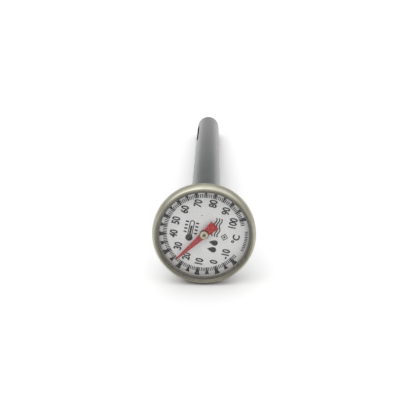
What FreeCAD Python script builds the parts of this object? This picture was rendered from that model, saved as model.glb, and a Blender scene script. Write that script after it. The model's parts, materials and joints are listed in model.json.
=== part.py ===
"""Pocket dial thermometer with a bimetal stem and a protective sheath.

Each piece is drawn in the thermometer's own frame: the stem's axis is +Y, measured back from the
bezel's front crown, +X is to the right of someone reading the dial and +Z is up the dial.
place() then tilts the whole model so that it lies on a table, on its bezel's rim and its
sheath's tip, with Z = 0 as the table. All sizes are in millimetres.
"""

import FreeCAD, Part
import math
import os

from FreeCAD import Vector

# ---- Driving dimensions ----
BEZEL_R = 13.4
BEZEL_FRONT_FILLET = 0.9
BEZEL_REAR_FILLET = 0.45
BEZEL_DEPTH = 3.7
LIP_R = 12.15  # the bezel's window
LIP_FRONT = 0.36
LIP_FILLET = 0.12
CROWN_RISE = 0.3  # step from the lip up to the crown

SHEATH_R = 4.4
SHEATH_CLIP_R = 4.2  # slimmer at the mouth, so that the clip's band can be pushed on
TAPER_FROM = 22.0  # from here the sheath widens to SHEATH_R
TAPER_TO = 63.0
SHEATH_BORE_R = 3.0
SHEATH_MOUTH = 7.5
SHEATH_MOUTH_FILLET = 0.25
SHEATH_TIP_CENTRE = 128.5  # centre of the domed end

STEM_R = 1.95
STEM_BORE_R = 1.6
STEM_TIP = 128.6
TIP_CLEARANCE = 1.2  # between the stem's tip and the end of the sheath's bore
SHAFT_R = 0.4

# ---- Fits ----
BONDED = 0.02  # gap between pieces that are pressed or glued together
RUNNING = 0.05  # radial gap of a shaft that turns in a hole

# ---- Stack of pieces in the head, as distances back from the bezel's crown ----
LENS_EDGE = 0.5
LENS_THICK = 0.55
LENS_RISE = 0.33
LENS_R = 12.9
LENS_FIT = BONDED + 0.03  # radial gap round the lens in the bezel
GASKET_R = 11.5
GASKET_TOP = LENS_EDGE + LENS_THICK + BONDED
FLANGE_TOP = 1.4  # the case's flange, gripped by the rolled bezel
SPACER_R = 12.05
DIAL_FACE = 2.8
DIAL_THICK = 0.4
DIAL_R = 12.3
DIAL_HOLE_R = 1.0
CASE_SKIN = 0.4
CASE_BORE_R = 12.35
CASE_STEP = DIAL_FACE + DIAL_THICK + 0.03
CASE_FLOOR = 6.2
CASE_BACK = CASE_FLOOR + CASE_SKIN
CASE_INNER_R = 11.5
CASE_FLOOR_FILLET = 0.7
CASE_BACK_FILLET = 1.1
HUB_HOLE_R = 2.4

# ---- Dial scale and pointer ----
DEGREES_PER_CELSIUS = 2.665
ZERO_ANGLE = 287.0  # where 0 Celsius stands, anticlockwise from +X as the dial is read
REST_CELSIUS = 24.0
NEEDLE_FACE = 1.62
NEEDLE_THICK = 0.15
NEEDLE_LENGTH = 9.75
NEEDLE_TIP_HALF = 0.28
NEEDLE_TIP_FILLET = 0.2
NEEDLE_ROOT_HALF = 0.85
TAIL_LENGTH = 3.9
TAIL_ROOT_HALF = 1.05
TAIL_END_HALF = 1.35
TAIL_FILLET = 0.15
POINTER_HUB_R = 1.15
HUB_RISE = 0.5  # hub's face in front of the needle's
HUB_BARREL_R = 0.69
HUB_BARREL = 1.0  # length of the hub's barrel behind the needle's face
SHAFT_START = NEEDLE_FACE - HUB_RISE + 0.1

# ---- Stem and what it holds ----
COLLAR_FLANGE_R = 3.6
COLLAR_FLANGE_TOP = 5.2
COLLAR_FLANGE_THICK = 0.6
COLLAR_BARREL_R = HUB_HOLE_R - RUNNING
COLLAR_END = 7.8
WASHER_THICK = 0.15
WASHER_OVERHANG = 0.6
NUT_FLATS = 6.0
NUT_FRONT = CASE_BACK + 0.1
NUT_BACK = 10.5
NUT_CHAMFER = 0.35
NUT_CORNER = 0.985 * NUT_FLATS / math.sqrt(3)  # radius to which its corners are turned down
UPPER_GUIDE = 8.0
LOWER_GUIDE = 90.0
GUIDE_LENGTH = 2.0
TUBE_END = 123.0
SPIGOT = 1.5  # how far the tip plug goes into the tube
TIP_R = STEM_R * 0.62
COIL_TURNS = 10
COIL_PITCH = 2.25
COIL_R = 1.1
STRIP_WIDE = 1.4
STRIP_THICK = 0.2
COIL_START = 97.8
COIL_LENGTH = COIL_TURNS * COIL_PITCH
COLLET_R = COIL_R + STRIP_THICK / 2
COLLET_LENGTH = 2.4
COLLET_FLOOR = 0.35
COLLET_BACK = COIL_START - STRIP_WIDE / 2 - RUNNING
ANCHOR_FRONT = COIL_START + COIL_LENGTH + STRIP_WIDE / 2 + BONDED

# ---- Pocket clip, folded from one strip of spring steel ----
CLIP_STEEL = 0.4
CLIP_WIDTH = 4.6
BAND_FRONT = 13.0
BAND_BACK = 20.0
FOLD_R = 0.9
CLIP_TOUCH = 53.0  # where the arm comes nearest to the sheath
TAPER_AT_TOUCH = (SHEATH_R - SHEATH_CLIP_R) * (CLIP_TOUCH - TAPER_FROM) / (TAPER_TO - TAPER_FROM)
CLIP_END = 58.0
CLIP_GAP = 0.25
CLIP_BEND_R = 4.0
CLIP_LEG_START = BAND_BACK - 1.0
CLIP_LEG_Z = -(SHEATH_CLIP_R + BONDED + CLIP_STEEL * 1.25)
FOLD_Z = CLIP_LEG_Z - FOLD_R  # height of the fold's middle, where the arm flexes
FOLD_FRONT = BAND_FRONT - FOLD_R
FOLD_END = CLIP_STEEL / 2 + 0.04
TOUCH_Z = -(SHEATH_CLIP_R + TAPER_AT_TOUCH + CLIP_GAP + CLIP_STEEL / 2)

# ---- Sheath slot ----
SLOT_WIDE = 2.4
SLOT_FROM = 97.0
SLOT_TO = 121.0
SLOT_ANGLE = 161.0  # anticlockwise from +X as the dial is read


def tilt():
    """Angle between the stem's axis and the table, with the rim and the tip both touching it."""
    along = SHEATH_TIP_CENTRE - (BEZEL_DEPTH - BEZEL_REAR_FILLET)
    across = BEZEL_R - BEZEL_REAR_FILLET
    drop = BEZEL_REAR_FILLET - SHEATH_R
    return math.asin(drop / math.hypot(along, across)) + math.atan2(across, along)


TILT = tilt()
RISE = SHEATH_TIP_CENTRE * math.sin(TILT) + SHEATH_R
FRONT = (
    BEZEL_FRONT_FILLET * math.cos(TILT)
    - (BEZEL_R - BEZEL_FRONT_FILLET) * math.sin(TILT)
    - BEZEL_FRONT_FILLET
)
BACK = SHEATH_TIP_CENTRE * math.cos(TILT) + SHEATH_R
SHIFT = Vector(0, -(FRONT + BACK) / 2, RISE)


# ---- Helpers ----
def rounded(points, closed=True):
    """Wire in the XY plane through (x, y) or (x, y, fillet) corners."""
    edges = []
    ends = []
    count = len(points)
    for i, corner in enumerate(points):
        here = Vector(corner[0], corner[1], 0)
        fillet = corner[2] if len(corner) > 2 else 0.0
        if fillet == 0.0:
            ends.append((here, here))
            continue
        back = Vector(*points[i - 1][:2], 0) - here
        ahead = Vector(*points[(i + 1) % count][:2], 0) - here
        half = back.getAngle(ahead) / 2
        back.normalize()
        ahead.normalize()
        middle = back + ahead
        middle.normalize()
        reach = fillet / math.tan(half)
        through = here + middle * (fillet / math.sin(half) - fillet)
        start = here + back * reach
        end = here + ahead * reach
        edges.append(Part.Arc(start, through, end).toShape())
        ends.append((start, end))
    for i in range(count if closed else count - 1):
        leave = ends[i][1]
        arrive = ends[(i + 1) % count][0]
        if leave.distanceToPoint(arrive) > 1e-6:
            edges.append(Part.makeLine(leave, arrive))
    return Part.Wire(Part.__sortEdges__(edges))


def turned(points):
    """Solid turned about the Y axis from a closed outline of (radius, distance) corners."""
    return Part.Face(rounded(points)).revolve(Vector(), Vector(0, 1, 0), 360)


def ring(inner, outer, start, end, chamfer=0.0):
    """Ring about the stem's axis, with its outer corners rounded by chamfer."""
    return turned(
        [(inner, start), (outer, start, chamfer), (outer, end, chamfer), (inner, end)]
    )


def rod(radius, start, end):
    return Part.makeCylinder(radius, end - start, Vector(0, start, 0), Vector(0, 1, 0))


def hexagon(flats, start, end):
    """Hexagonal prism on the stem's axis with one flat facing +X."""
    corner = flats / math.sqrt(3)
    turns = [math.radians(30 + 60 * i) for i in range(7)]
    points = [Vector(corner * math.cos(a), start, corner * math.sin(a)) for a in turns]
    return Part.Face(Part.makePolygon(points)).extrude(Vector(0, end - start, 0))


def dial_turn(shape, angle):
    """Turn a shape about the stem's axis, anticlockwise as the dial is read."""
    return shape.rotate(Vector(), Vector(0, 1, 0), -angle)


def place(shape):
    """Lay a shape of the upright frame down on the table."""
    shape.rotate(Vector(), Vector(1, 0, 0), -math.degrees(TILT))
    shape.translate(SHIFT)
    return shape


# ---- Head ----
def bezel_ring():
    """Pressed ring over the case and the lens, with its seam at the bottom of the dial."""
    inner = LENS_R + LENS_FIT
    crown = BEZEL_R - BEZEL_FRONT_FILLET - 0.05
    grip = FLANGE_TOP + CASE_SKIN + BONDED
    pressed = turned(
        [
            (LIP_R, LENS_EDGE - BONDED),
            (LIP_R, LIP_FRONT, LIP_FILLET),
            (crown - 0.1, CROWN_RISE),
            (crown, 0.0, 0.05),
            (BEZEL_R, 0.0, BEZEL_FRONT_FILLET),
            (BEZEL_R, BEZEL_DEPTH, BEZEL_REAR_FILLET),
            (CASE_BORE_R + CASE_SKIN, BEZEL_DEPTH),
            (CASE_BORE_R + CASE_SKIN, grip),
            (inner, grip),
            (inner, LENS_EDGE - BONDED),
        ]
    )
    return dial_turn(pressed, -90)


def lens():
    """Clear disc, crowned towards the reader and hollow behind."""
    back = LENS_EDGE + LENS_THICK
    window = LIP_R - BONDED
    edges = [
        Part.makeLine(Vector(LENS_R, LENS_EDGE, 0), Vector(LENS_R, back, 0)),
        Part.makeLine(Vector(LENS_R, back, 0), Vector(window, back, 0)),
        dome(window, back),
        Part.makeLine(Vector(0, back - LENS_RISE, 0), Vector(0, LENS_EDGE - LENS_RISE, 0)),
        dome(window, LENS_EDGE),
        Part.makeLine(Vector(window, LENS_EDGE, 0), Vector(LENS_R, LENS_EDGE, 0)),
    ]
    face = Part.Face(Part.Wire(Part.__sortEdges__(edges)))
    return face.revolve(Vector(), Vector(0, 1, 0), 360)


def dome(radius, level):
    """Arc from the rim at this level to the axis, rising towards the reader by LENS_RISE."""
    sphere = (radius**2 + LENS_RISE**2) / (2 * LENS_RISE)
    half = radius / 2
    rise = LENS_RISE - sphere + math.sqrt(sphere**2 - half**2)
    return Part.Arc(
        Vector(radius, level, 0),
        Vector(half, level - rise, 0),
        Vector(0, level - LENS_RISE, 0),
    ).toShape()


def lens_gasket():
    return ring(GASKET_R, LENS_R, GASKET_TOP, FLANGE_TOP - BONDED, 0.1)


def dial_spacer_ring():
    return ring(SPACER_R, CASE_BORE_R - BONDED, FLANGE_TOP, DIAL_FACE - BONDED)


def dial_plate():
    return ring(DIAL_HOLE_R, DIAL_R, DIAL_FACE, DIAL_FACE + DIAL_THICK)


def case_cup():
    """Drawn steel cup: a flange at its mouth, a step that seats the dial, a hole in its back."""
    outer = CASE_BORE_R + CASE_SKIN - BONDED
    return turned(
        [
            (HUB_HOLE_R, CASE_FLOOR),
            (CASE_INNER_R, CASE_FLOOR, CASE_FLOOR_FILLET),
            (CASE_INNER_R, CASE_STEP),
            (CASE_BORE_R, CASE_STEP),
            (CASE_BORE_R, FLANGE_TOP),
            (LENS_R + BONDED, FLANGE_TOP),
            (LENS_R + BONDED, FLANGE_TOP + CASE_SKIN),
            (outer, FLANGE_TOP + CASE_SKIN),
            (outer, CASE_STEP + CASE_SKIN, 0.35),
            (CASE_INNER_R + CASE_SKIN, CASE_STEP + CASE_SKIN, 0.2),
            (CASE_INNER_R + CASE_SKIN, CASE_BACK, CASE_BACK_FILLET),
            (HUB_HOLE_R, CASE_BACK),
        ]
    )


# ---- Pointer ----
def pointer_needle():
    """Flat blade with a straight-ended tail, turned to its resting reading."""
    blade = rounded(
        [
            (NEEDLE_LENGTH, NEEDLE_TIP_HALF, NEEDLE_TIP_FILLET),
            (POINTER_HUB_R, NEEDLE_ROOT_HALF),
            (-POINTER_HUB_R, TAIL_ROOT_HALF),
            (-TAIL_LENGTH, TAIL_END_HALF, TAIL_FILLET),
            (-TAIL_LENGTH, -TAIL_END_HALF, TAIL_FILLET),
            (-POINTER_HUB_R, -TAIL_ROOT_HALF),
            (POINTER_HUB_R, -NEEDLE_ROOT_HALF),
            (NEEDLE_LENGTH, -NEEDLE_TIP_HALF, NEEDLE_TIP_FILLET),
        ]
    )
    flat = Part.Face(blade).extrude(Vector(0, 0, -NEEDLE_THICK))
    flat.rotate(Vector(), Vector(1, 0, 0), 90)
    flat.translate(Vector(0, NEEDLE_FACE, 0))
    flat = flat.cut(rod(HUB_BARREL_R + BONDED, NEEDLE_FACE - 1, NEEDLE_FACE + 1))
    return dial_turn(flat, ZERO_ANGLE - REST_CELSIUS * DEGREES_PER_CELSIUS)


def pointer_hub():
    """Turned brass bush: a flange over the needle and a barrel through it."""
    bore = SHAFT_R + BONDED
    face = NEEDLE_FACE - HUB_RISE
    return turned(
        [
            (bore, face),
            (POINTER_HUB_R, face, 0.12),
            (POINTER_HUB_R, NEEDLE_FACE - BONDED),
            (HUB_BARREL_R, NEEDLE_FACE - BONDED),
            (HUB_BARREL_R, NEEDLE_FACE + HUB_BARREL),
            (bore, NEEDLE_FACE + HUB_BARREL),
        ]
    )


def pointer_shaft():
    return rod(SHAFT_R, SHAFT_START, COLLET_BACK - COLLET_FLOOR - RUNNING)


def coil_collet():
    """Turned cap that joins the top of the helix to the pointer's shaft."""
    return turned(
        [
            (0, COLLET_BACK - COLLET_FLOOR),
            (0, COLLET_BACK),
            (COLLET_R, COLLET_BACK, 0.1),
            (COLLET_R, COLLET_BACK - COLLET_LENGTH, 0.2),
            (SHAFT_R + BONDED, COLLET_BACK - COLLET_LENGTH),
            (SHAFT_R + BONDED, COLLET_BACK - COLLET_FLOOR),
        ]
    )


# ---- Stem ----
def stem_tube():
    return ring(STEM_BORE_R, STEM_R, COLLAR_FLANGE_TOP, TUBE_END)


def stem_tip_plug():
    """Welded point: a spigot in the tube's end and a tapering, rounded tip."""
    spigot = STEM_BORE_R - BONDED
    return turned(
        [
            (0, TUBE_END - SPIGOT),
            (spigot, TUBE_END - SPIGOT, 0.1),
            (spigot, TUBE_END + BONDED),
            (STEM_R, TUBE_END + BONDED),
            (TIP_R, STEM_TIP, 0.9),
            (0, STEM_TIP),
        ]
    )


def stem_collar():
    """Flanged ferrule pressed on the tube's top; its barrel turns in the hole in the case."""
    flange_back = COLLAR_FLANGE_TOP + COLLAR_FLANGE_THICK
    bore = STEM_R + BONDED
    return turned(
        [
            (bore, COLLAR_FLANGE_TOP),
            (COLLAR_FLANGE_R, COLLAR_FLANGE_TOP, 0.15),
            (COLLAR_FLANGE_R, flange_back, 0.1),
            (COLLAR_BARREL_R, flange_back),
            (COLLAR_BARREL_R, COLLAR_END),
            (bore, COLLAR_END),
        ]
    )


def friction_washer():
    """Conical spring washer between the collar's flange and the case's floor."""
    top = COLLAR_FLANGE_TOP + COLLAR_FLANGE_THICK + BONDED
    low = CASE_FLOOR - RUNNING
    inner = COLLAR_BARREL_R + RUNNING
    outer = COLLAR_FLANGE_R + WASHER_OVERHANG
    return turned(
        [(inner, top), (inner, top + WASHER_THICK), (outer, low), (outer, low - WASHER_THICK)]
    )


def calibration_nut():
    """Hexagon with chamfered corners, counterbored for the collar's barrel."""
    blank = turned(
        [
            (STEM_R + BONDED, NUT_FRONT),
            (NUT_FLATS / 2, NUT_FRONT),
            (NUT_CORNER, NUT_FRONT + NUT_CHAMFER),
            (NUT_CORNER, NUT_BACK - NUT_CHAMFER),
            (NUT_FLATS / 2, NUT_BACK),
            (STEM_R + BONDED, NUT_BACK),
        ]
    )
    counterbore = rod(COLLAR_BARREL_R + BONDED, NUT_FRONT - 1, COLLAR_END + BONDED)
    return blank.common(hexagon(NUT_FLATS, NUT_FRONT, NUT_BACK)).cut(counterbore)


def shaft_guide(start):
    """Bush that keeps the pointer's shaft in the middle of the stem."""
    return ring(SHAFT_R + RUNNING, STEM_BORE_R - BONDED, start, start + GUIDE_LENGTH, 0.15)


def bimetal_coil():
    """Flat strip wound into a helix of COIL_TURNS turns, its wide side along the stem."""
    helix = Part.makeHelix(COIL_PITCH, COIL_LENGTH, COIL_R)
    half_thick = STRIP_THICK / 2
    half_wide = STRIP_WIDE / 2
    corners = [(-1, -1), (1, -1), (1, 1), (-1, 1), (-1, -1)]
    section = Part.makePolygon(
        [Vector(COIL_R + x * half_thick, 0, z * half_wide) for x, z in corners]
    )
    strip = Part.Wire(helix.Edges).makePipeShell([section], True, True)
    strip.rotate(Vector(), Vector(1, 0, 0), -90)
    strip.translate(Vector(0, COIL_START, 0))
    return strip


def coil_anchor():
    return rod(STEM_BORE_R - BONDED, ANCHOR_FRONT, TUBE_END - SPIGOT - BONDED)


# ---- Sheath and its clip ----
def sheath_tube():
    """Closed tube with a domed end, a hexagonal mouth over the nut and one slot in its wall."""
    end = SHEATH_TIP_CENTRE + SHEATH_R
    bore_end = STEM_TIP + TIP_CLEARANCE
    body = turned(
        [
            (SHEATH_BORE_R, SHEATH_MOUTH),
            (SHEATH_CLIP_R, SHEATH_MOUTH, SHEATH_MOUTH_FILLET),
            (SHEATH_CLIP_R, TAPER_FROM),
            (SHEATH_R, TAPER_TO),
            (SHEATH_R, end, SHEATH_R),
            (0, end),
            (0, bore_end),
            (SHEATH_BORE_R, bore_end, SHEATH_BORE_R - 0.1),
        ]
    )
    socket = hexagon(NUT_FLATS + 2 * RUNNING, SHEATH_MOUTH - 1, NUT_BACK + 0.5)
    return body.cut(socket).cut(sheath_slot())


def sheath_slot():
    """Round-ended cutter that goes through one side of the sheath's wall."""
    half = SLOT_WIDE / 2
    outline = rounded(
        [
            (-half, SLOT_FROM, half),
            (half, SLOT_FROM, half),
            (half, SLOT_TO, half),
            (-half, SLOT_TO, half),
        ]
    )
    cutter = Part.Face(outline).extrude(Vector(0, 0, SHEATH_R + 1))
    return dial_turn(cutter, SLOT_ANGLE - 90)


def clip_strip(points):
    """Strip of the clip's steel whose middle follows (distance, height) corners."""
    outline = rounded(points, closed=False).makeOffset2D(CLIP_STEEL / 2, 0, False, False)
    strip = Part.Face(outline).extrude(Vector(0, 0, CLIP_WIDTH))
    strip.rotate(Vector(), Vector(1, 1, 1), 120)
    strip.translate(Vector(-CLIP_WIDTH / 2, 0, 0))
    return strip


def clip_band():
    """Band round the sheath, with a leg below it that begins the clip's fold."""
    inner = SHEATH_CLIP_R + BONDED
    band = ring(inner, inner + CLIP_STEEL, BAND_FRONT, BAND_BACK)
    leg = clip_strip(
        [
            (CLIP_LEG_START, CLIP_LEG_Z),
            (FOLD_FRONT, CLIP_LEG_Z, FOLD_R * 0.7),
            (FOLD_FRONT, FOLD_Z + FOLD_END),
        ]
    )
    return band.fuse(leg).removeSplitter()


def clip_arm():
    """Rest of the fold and the springy arm, which nearly touches the sheath and then flares."""
    return clip_strip(
        [
            (FOLD_FRONT, FOLD_Z - FOLD_END),
            (FOLD_FRONT, FOLD_Z - FOLD_R, FOLD_R * 0.6),
            (CLIP_TOUCH, TOUCH_Z, CLIP_BEND_R),
            (CLIP_END, FOLD_Z - FOLD_R * 0.6),
        ]
    )


PIECES = {
    "bezel_ring": bezel_ring(),
    "lens": lens(),
    "lens_gasket": lens_gasket(),
    "dial_spacer_ring": dial_spacer_ring(),
    "dial_plate": dial_plate(),
    "case_cup": case_cup(),
    "pointer_needle": pointer_needle(),
    "pointer_hub": pointer_hub(),
    "pointer_shaft": pointer_shaft(),
    "coil_collet": coil_collet(),
    "stem_tube": stem_tube(),
    "stem_tip_plug": stem_tip_plug(),
    "stem_collar": stem_collar(),
    "friction_washer": friction_washer(),
    "calibration_nut": calibration_nut(),
    "upper_shaft_guide": shaft_guide(UPPER_GUIDE),
    "lower_shaft_guide": shaft_guide(LOWER_GUIDE),
    "bimetal_coil": bimetal_coil(),
    "coil_anchor": coil_anchor(),
    "sheath_tube": sheath_tube(),
    "clip_band": clip_band(),
    "clip_arm": clip_arm(),
}

os.makedirs("parts", exist_ok=True)
for name, piece in PIECES.items():
    solid = place(piece)
    if not solid.isValid() or len(solid.Solids) != 1:
        raise ValueError(f"{name} is not one valid solid")
    solid.exportStep(f"parts/{name}.step")
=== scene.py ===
import json
import math
from collections import namedtuple

import bmesh
import bpy
from mathutils import Matrix, Vector


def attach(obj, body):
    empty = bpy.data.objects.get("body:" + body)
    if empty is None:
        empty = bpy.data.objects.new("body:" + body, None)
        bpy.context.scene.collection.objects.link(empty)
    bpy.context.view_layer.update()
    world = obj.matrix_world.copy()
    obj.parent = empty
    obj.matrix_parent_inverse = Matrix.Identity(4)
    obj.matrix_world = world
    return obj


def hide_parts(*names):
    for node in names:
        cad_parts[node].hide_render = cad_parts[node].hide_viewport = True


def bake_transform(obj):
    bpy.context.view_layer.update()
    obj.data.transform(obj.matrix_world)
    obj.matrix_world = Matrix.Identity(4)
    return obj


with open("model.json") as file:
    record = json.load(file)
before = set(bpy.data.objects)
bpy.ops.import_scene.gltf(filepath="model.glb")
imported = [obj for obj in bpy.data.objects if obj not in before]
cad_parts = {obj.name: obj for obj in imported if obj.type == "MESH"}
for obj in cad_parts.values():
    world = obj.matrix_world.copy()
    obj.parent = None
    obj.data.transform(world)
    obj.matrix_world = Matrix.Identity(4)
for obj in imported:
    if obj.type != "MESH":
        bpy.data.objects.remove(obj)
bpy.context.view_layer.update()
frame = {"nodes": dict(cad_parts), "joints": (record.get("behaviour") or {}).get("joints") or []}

# Pieces are drawn upright, in millimetres: x to the right of someone reading the dial, y back
# along the stem from the bezel's crown, z up the dial. UPRIGHT then lays them where the CAD has
# them. "Along" below is a distance back from the crown.

MM = 0.001
JOINTS = {joint["name"]: joint for joint in frame["joints"]}
AXIS = Vector(JOINTS["calibration_turn"]["axis"]).normalized()
PIVOT = Vector(JOINTS["calibration_turn"]["pos_m"])
RIGHT = Vector((1, 0, 0))
TILT = math.asin(-AXIS.z)


def upright_matrix():
    bezel = frame["nodes"]["bezel_ring"].data.vertices
    crown = min((vertex.co - PIVOT).dot(AXIS) for vertex in bezel)
    turn = Matrix((RIGHT, AXIS, RIGHT.cross(AXIS))).transposed().to_4x4()
    return Matrix.Translation(PIVOT + AXIS * crown) @ turn @ Matrix.Scale(MM, 4)


UPRIGHT = upright_matrix()
Extent = namedtuple("Extent", "inner outer front back")


def extent(node):
    """Least and greatest radius and distance along of a CAD node."""
    inverse = UPRIGHT.inverted()
    spots = [inverse @ vertex.co for vertex in frame["nodes"][node].data.vertices]
    radii = [math.hypot(spot.x, spot.z) for spot in spots]
    along = [spot.y for spot in spots]
    return Extent(min(radii), max(radii), min(along), max(along))


BEZEL = extent("bezel_ring")
CASE = extent("case_cup")
LENS = extent("lens")
GASKET = extent("lens_gasket")
SPACER = extent("dial_spacer_ring")
DIAL = extent("dial_plate")
NEEDLE = extent("pointer_needle")
HUB = extent("pointer_hub")
SHAFT = extent("pointer_shaft")
COLLAR = extent("stem_collar")
NUT = extent("calibration_nut")
TUBE = extent("stem_tube")
PLUG = extent("stem_tip_plug")
SHEATH = extent("sheath_tube")
BAND = extent("clip_band")
ARM = extent("clip_arm")
COLLET = extent("coil_collet")
ANCHOR = extent("coil_anchor")

# ---- Dial scale ----
DEGREES_PER_CELSIUS = 2.665
ZERO_ANGLE = 287.0  # anticlockwise from the right, as the dial is read
REST_CELSIUS = 24
SCALE_LOW = -13
SCALE_HIGH = 103
READING_TURN = 77.0  # direction in which the numerals read, anticlockwise from the right
NUMERAL_RADIUS = 7.95
# How far some numerals are printed off the common circle
NUMERAL_SHIFT = {-10: 0.1, 0: 0.45, 30: -0.3, 50: 0.12, 60: 0.25, 70: 0.4, 80: 0.42, 90: 0.3}
NUMERAL_HEIGHT = 2.12
NUMERAL_SQUEEZE = 0.76
NUMERAL_WEIGHT = 0.038  # how far the strokes are thickened, as a share of the font's size
INK = 0.02  # thickness of the print
# Marks for the tens, the fives and the other degrees, as (radius, half width) stations
TEN_MARK = [(9.65, 0.21), (10.3, 0.27), (11.9, 0.75)]
FIVE_MARK = [(9.65, 0.18), (10.55, 0.23), (11.6, 0.58)]
ONE_MARK = [(9.65, 0.115), (10.7, 0.13)]
# Where the dial's generic signs stand, as (radius, degrees)
SIGN_PLACES = {
    "thermometer": (3.57, 168),
    "waves": (3.66, 25),
    "diamond": (5.36, -11.8),
    "drops": (4.16, -59),
}

# ---- Sizes shared by several pieces, in millimetres ----
SEAM = 0.02  # gap between pieces that are pressed, rolled, glued or welded together
LENS_THICK = 0.55
LENS_SEAT = LENS.back - LENS_THICK - SEAM  # where the bezel's lip meets the lens
LIP_WIDTH = 0.6
CORNER_CUT = 0.985  # the nut's corners are turned down to this share of a full hexagon
NUT_FLAT = NUT.outer * 0.5 * math.sqrt(3) / CORNER_CUT
SHEATH_CLIP_R = BAND.inner - SEAM  # the sheath is slimmer where the clip lies
TAPER_FROM = 22.0  # from here it widens
TAPER_TO = 63.0
CLIP_STEEL = 0.4
ON_AXIS = 1e-6  # a smaller radius means a point on the axis


# ---- Outlines and meshes ----
def rounded(points, step=math.radians(9)):
    """Outline through (x, y) or (x, y, fillet) corners, with its fillets finely divided."""
    result = []
    for i, corner in enumerate(points):
        here = Vector(corner[:2])
        fillet = corner[2] if len(corner) > 2 else 0.0
        if fillet == 0.0:
            result.append(here)
            continue
        back = (Vector(points[i - 1][:2]) - here).normalized()
        ahead = (Vector(points[(i + 1) % len(points)][:2]) - here).normalized()
        half = back.angle(ahead) / 2
        middle = here + (back + ahead).normalized() * fillet / math.sin(half)
        spoke = here + back * fillet / math.tan(half) - middle
        sweep = math.pi - 2 * half
        if back.cross(ahead) > 0:
            sweep = -sweep
        count = max(2, math.ceil(abs(sweep) / step))
        for k in range(count + 1):
            result.append(middle + Matrix.Rotation(sweep * k / count, 2) @ spoke)
    return result


def lathe(outline, steps=192):
    """bmesh of a closed outline of (radius, along) turned about the stem's axis."""
    form = bmesh.new()
    loops = []
    for radius, along in outline:
        if radius < ON_AXIS:
            loops.append([form.verts.new((0, along, 0))] * steps)
            continue
        turns = [2 * math.pi * k / steps for k in range(steps)]
        loops.append(
            [
                form.verts.new((radius * math.cos(t), along, radius * math.sin(t)))
                for t in turns
            ]
        )
    for i, near in enumerate(loops):
        far = loops[(i + 1) % len(loops)]
        for k in range(steps):
            after = (k + 1) % steps
            corners = [near[k], near[after], far[after], far[k]]
            corners = [c for n, c in enumerate(corners) if c not in corners[:n]]
            if len(corners) > 2:
                form.faces.new(corners)
    return form


def extruded(points, travel):
    """bmesh of a flat closed outline of 3-D points, drawn out by the vector travel."""
    form = bmesh.new()
    face = form.faces.new([form.verts.new(point) for point in points])
    made = bmesh.ops.extrude_face_region(form, geom=[face], use_keep_orig=True)
    moved = [v for v in made["geom"] if isinstance(v, bmesh.types.BMVert)]
    bmesh.ops.translate(form, verts=moved, vec=travel)
    return form


def prism(outline, low, high):
    """bmesh of a closed outline of (x, z), filled between two distances along."""
    return extruded([(x, low, z) for x, z in outline], (0, high - low, 0))


def skin_bar(form, rings):
    """Close a bar whose cross-sections are rings of four vertices."""
    for near, far in zip(rings, rings[1:]):
        for i in range(4):
            k = (i + 1) % 4
            form.faces.new([near[i], near[k], far[k], far[i]])
    form.faces.new(rings[0])
    form.faces.new(rings[-1][::-1])


def new_object(name, form):
    """Object of a bmesh in upright millimetres, with its normals turned outward."""
    bmesh.ops.recalc_face_normals(form, faces=form.faces)
    mesh = bpy.data.meshes.new(name)
    form.to_mesh(mesh)
    form.free()
    thing = bpy.data.objects.new(name, mesh)
    bpy.context.scene.collection.objects.link(thing)
    return thing


def apply_modifiers(thing):
    bpy.context.view_layer.update()
    done = thing.evaluated_get(bpy.context.evaluated_depsgraph_get())
    mesh = bpy.data.meshes.new_from_object(done)
    thing.modifiers.clear()
    thing.data = mesh


def combine(thing, cutter, operation):
    """Cut or keep part of thing with a second form, which is then removed."""
    tool = new_object("tool", cutter)
    modifier = thing.modifiers.new("combine", "BOOLEAN")
    modifier.object = tool
    modifier.operation = operation
    modifier.solver = "EXACT"
    apply_modifiers(thing)
    bpy.data.objects.remove(tool)


def soften(thing, width):
    """Round the sharp edges of thing by width, in millimetres."""
    modifier = thing.modifiers.new("soften", "BEVEL")
    modifier.width = width
    modifier.segments = 2
    modifier.limit_method = "ANGLE"
    modifier.angle_limit = math.radians(40)
    apply_modifiers(thing)


def finish(thing, body, material, stands_for=(), sharp=32):
    """Lay thing down in the frame, shade it, and say what it rides on and stands for."""
    thing.data.transform(UPRIGHT)
    thing.data.materials.clear()
    thing.data.materials.append(material)
    thing.data.shade_smooth()
    thing.data.set_sharp_from_angle(angle=math.radians(sharp))
    if body:
        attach(thing, body)
    if stands_for:
        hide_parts(*stands_for)
    return thing


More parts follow.
